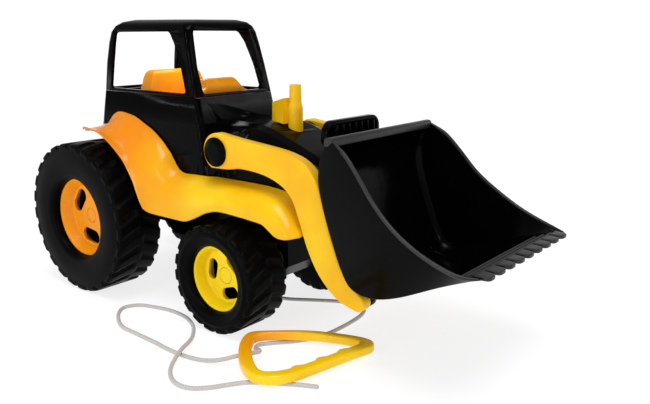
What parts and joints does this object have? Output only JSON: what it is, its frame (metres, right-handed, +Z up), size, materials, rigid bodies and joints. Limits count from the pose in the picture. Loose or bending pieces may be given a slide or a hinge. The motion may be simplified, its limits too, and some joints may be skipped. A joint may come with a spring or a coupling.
{
  "type": "toy front loader",
  "caption": "Plastic toy wheeled front loader with a cab, lifting loader arms, a tilting toothed bucket, rolling slotted wheels and a pull cord with a handle.",
  "frame": {"origin": "on the floor under the middle of the vehicle, cord and pull handle left out", "axes": "+X forward towards the bucket, +Y to the driver's left, +Z up"},
  "size_m": [0.5633, 0.3101, 0.296],
  "materials": {
    "yellow": "smooth moulded gloss",
    "orange": "smooth moulded gloss",
    "black": "smooth moulded gloss",
    "bucket_black": "high gloss",
    "tyre": "satin moulded tread",
    "steel": "bright zinc",
    "cord": "braided cord"
  },
  "bodies": {
    "chassis": {"fender_moulding": "yellow", "base_frame": "black", "body_shell": "black", "cab_frame": "black", "seat": "orange", "dashboard": "orange", "exhaust_stack": "yellow", "intake_box": "yellow", "axle_rear": "steel", "axle_front": "steel", "pivot_shaft": "steel", "pivot_cap_right": "black", "pivot_cap_left": "black", "frame_screw_1": "steel", "frame_screw_2": "steel", "frame_screw_3": "steel", "frame_screw_4": "steel", "pull_cord": "cord", "tow_knot": "cord", "pull_handle": "orange", "push_nut_rear_right": "steel", "push_nut_rear_left": "steel", "push_nut_front_right": "steel", "push_nut_front_left": "steel"},
    "loader": {"loader_arm_right": "yellow", "loader_arm_left": "yellow", "arm_cross_tube": "yellow"},
    "bucket": {"bucket": "bucket_black", "bucket_grip": "bucket_black", "bucket_pin_right": "steel", "bucket_pin_left": "steel"},
    "wheel_rear_right": {"tyre_rear_right": "tyre", "hub_rear_right": "yellow", "hub_cap_rear_right": "yellow"},
    "wheel_rear_left": {"tyre_rear_left": "tyre", "hub_rear_left": "yellow", "hub_cap_rear_left": "yellow"},
    "wheel_front_right": {"tyre_front_right": "tyre", "hub_front_right": "yellow", "hub_cap_front_right": "yellow"},
    "wheel_front_left": {"tyre_front_left": "tyre", "hub_front_left": "yellow", "hub_cap_front_left": "yellow"}
  },
  "joints": [
    {"name": "loader_lift", "type": "hinge", "parent": "chassis", "child": "loader", "pos_m": [-0.0083, 0, 0.173], "axis": [0, -1, 0], "range_deg": [0, 55]},
    {"name": "bucket_tilt", "type": "hinge", "parent": "loader", "child": "bucket", "pos_m": [0.1592, 0, 0.06], "axis": [0, 1, 0], "range_deg": [0, 45]},
    {"name": "rear_right_wheel", "type": "hinge", "parent": "chassis", "child": "wheel_rear_right", "pos_m": [-0.1983, 0, 0.0833], "axis": [0, 1, 0], "continuous": true},
    {"name": "rear_left_wheel", "type": "hinge", "parent": "chassis", "child": "wheel_rear_left", "pos_m": [-0.1983, 0, 0.0833], "axis": [0, 1, 0], "continuous": true},
    {"name": "front_right_wheel", "type": "hinge", "parent": "chassis", "child": "wheel_front_right", "pos_m": [0.0074, 0, 0.054], "axis": [0, 1, 0], "continuous": true},
    {"name": "front_left_wheel", "type": "hinge", "parent": "chassis", "child": "wheel_front_left", "pos_m": [0.0074, 0, 0.054], "axis": [0, 1, 0], "continuous": true}
  ]
}
